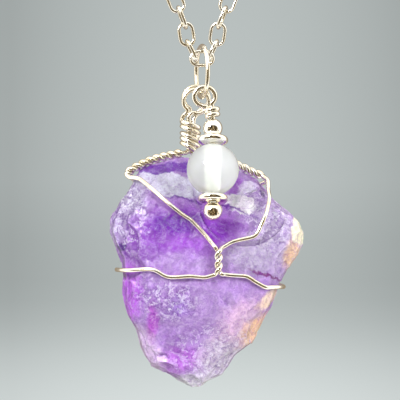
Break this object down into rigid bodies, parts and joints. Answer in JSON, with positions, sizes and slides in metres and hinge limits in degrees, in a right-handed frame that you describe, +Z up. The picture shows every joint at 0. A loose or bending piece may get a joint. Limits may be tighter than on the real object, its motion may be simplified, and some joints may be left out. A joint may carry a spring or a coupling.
{
  "type": "cage pendant necklace",
  "caption": "Raw violet stone held in a cage of twisted silver wire, with a milky bead drop in front, hung by a jump ring from a closed cable chain.",
  "frame": {"origin": "top of the chain loop, in the middle of the clasp, where the necklace lies on the nape", "axes": "+Z up, the stone hangs below on -Z; the front of the pendant faces -Y; +X is to the right seen from the front"},
  "size_m": [0.1026, 0.0174, 0.2395],
  "materials": {
    "amethyst": "translucent violet crystal with broken, satin faces",
    "silver_wire": "polished silver wire, slightly warm",
    "silver_beads": "mirror polished silver",
    "moonstone": "milky, nearly clear, polished",
    "silver_chain": "bright polished silver"
  },
  "bodies": {
    "chain": {"chain_left": "silver_chain", "chain_right": "silver_chain", "clasp": "silver_chain"},
    "pendant": {"jump_ring": "silver_wire", "cage_wire_left": "silver_wire", "cage_wire_right": "silver_wire", "amethyst": "amethyst", "head_pin": "silver_wire", "top_ball": "silver_beads", "spacer_top": "silver_beads", "moonstone": "moonstone", "spacer_bottom": "silver_beads"}
  },
  "joints": [
    {"name": "pendant_swing", "type": "hinge", "parent": "chain", "child": "pendant", "pos_m": [0, 0, -0.18653], "axis": [1, 0, 0], "range_deg": [-60, 60]}
  ]
}
